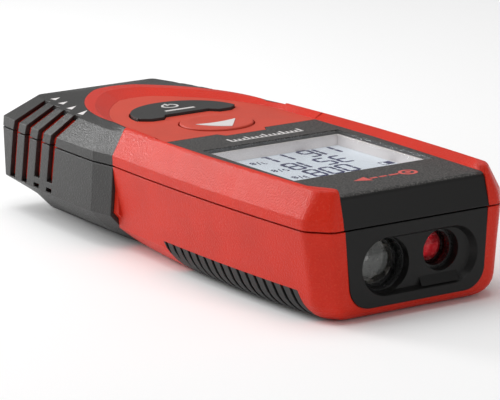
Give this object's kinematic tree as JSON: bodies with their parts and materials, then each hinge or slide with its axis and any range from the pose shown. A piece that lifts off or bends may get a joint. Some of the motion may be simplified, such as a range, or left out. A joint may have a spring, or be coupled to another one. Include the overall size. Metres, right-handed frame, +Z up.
{
  "type": "laser distance meter",
  "caption": "Pocket laser distance meter: red two-part shell, black grooved tail, display panel, round measure button, crescent clear button, front optics and a hinged battery door",
  "frame": {"origin": "middle of the underside of the bounding box, the meter lying on its back", "axes": "+Z up out of the display face, -Y out of the optics end, +X to the right seen with the optics end away from the holder"},
  "size_m": [0.044, 0.115, 0.0235],
  "materials": {
    "red_shell": "fine satin moulding",
    "red_skin": "soft touch",
    "black_plastic": "fine texture",
    "tail_rubber": "soft overmould",
    "grip_rubber": "ribbed",
    "light_print": "printed",
    "mask_grey": "printed",
    "display_grey": "liquid crystal display",
    "window_clear": "clear",
    "clear_lens": "clear",
    "red_lens": "tinted",
    "carrier_alloy": "die cast",
    "module_brass": "turned",
    "board_green": "solder mask",
    "cell_steel": "plated",
    "cell_wrap": "shrink sleeve"
  },
  "bodies": {
    "housing": {"upper_shell": "red_shell", "lower_shell": "red_shell", "side_grips": "grip_rubber", "tail_cover_upper": "tail_rubber", "tail_cover_lower": "tail_rubber", "tail_marks": "light_print", "parting_seal": "grip_rubber", "front_bezel": "black_plastic", "optics_plate": "black_plastic", "receiver_barrel": "black_plastic", "receiver_lens": "clear_lens", "transmitter_barrel": "black_plastic", "transmitter_lens": "red_lens", "optics_carrier": "carrier_alloy", "laser_module": "module_brass", "detector_board": "board_green", "receiver_detector": "cell_steel", "display_window": "window_clear", "display_mask": "mask_grey", "display_glass": "display_grey", "display_backlight": "light_print", "zebra_strips": "grip_rubber", "keypad_skin": "red_skin", "switch_domes": "cell_steel", "hinge_pin": "cell_steel", "battery_tray": "black_plastic", "battery_cells": "cell_wrap", "contact_springs": "cell_steel", "contact_plates": "cell_steel", "main_board": "board_green", "board_chips": "black_plastic", "shield_can": "cell_steel", "buzzer": "black_plastic", "case_screws": "cell_steel", "rating_label": "light_print"},
    "measure_key": {"measure_button": "red_skin", "measure_mark": "light_print"},
    "clear_key": {"clear_button": "tail_rubber", "clear_mark": "light_print"},
    "door": {"battery_door": "black_plastic", "door_pad": "grip_rubber", "door_catch": "black_plastic"}
  },
  "joints": [
    {"name": "measure_press", "type": "slide", "parent": "housing", "child": "measure_key", "axis": [0, 0, -1], "range_m": [0, 0.0005], "stiffness_N_per_m": 1500},
    {"name": "clear_press", "type": "slide", "parent": "housing", "child": "clear_key", "axis": [0, 0, -1], "range_m": [0, 0.0005], "stiffness_N_per_m": 1500},
    {"name": "door_hinge", "type": "hinge", "parent": "housing", "child": "door", "pos_m": [0, 0.006, 0.0015], "axis": [-1, 0, 0], "range_deg": [0, 95]}
  ]
}
